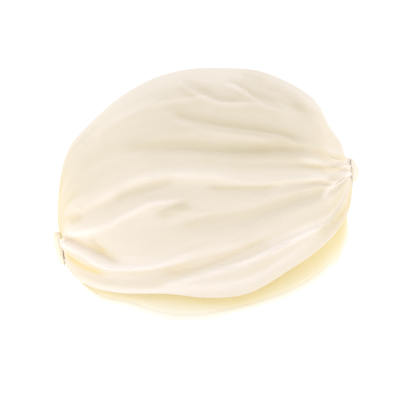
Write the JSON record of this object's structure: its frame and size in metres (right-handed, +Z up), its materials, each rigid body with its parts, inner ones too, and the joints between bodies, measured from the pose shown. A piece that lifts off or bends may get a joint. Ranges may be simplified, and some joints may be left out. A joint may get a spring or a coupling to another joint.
{
  "type": "chemo turban",
  "caption": "Soft gathered head wrap, its draped crown pleated into a short tab at the centre front and back over a recessed hem band, hollow below for the wearer's head.",
  "frame": {"origin": "centre of the head opening, level with the lowest point of the hem over the ears", "axes": "+X to the wearer's front, +Y to the wearer's left, +Z up"},
  "size_m": [0.2337, 0.1845, 0.1928],
  "materials": {
    "crown_drape": "soft ivory cotton jersey",
    "hem_band": "soft ivory cotton jersey, double",
    "front_tab": "soft ivory cotton jersey, folded",
    "rear_tab": "soft ivory cotton jersey, folded"
  },
  "bodies": {
    "root": {"crown_drape": "crown_drape", "hem_band": "hem_band", "front_tab": "front_tab", "rear_tab": "rear_tab"}
  },
  "joints": []
}
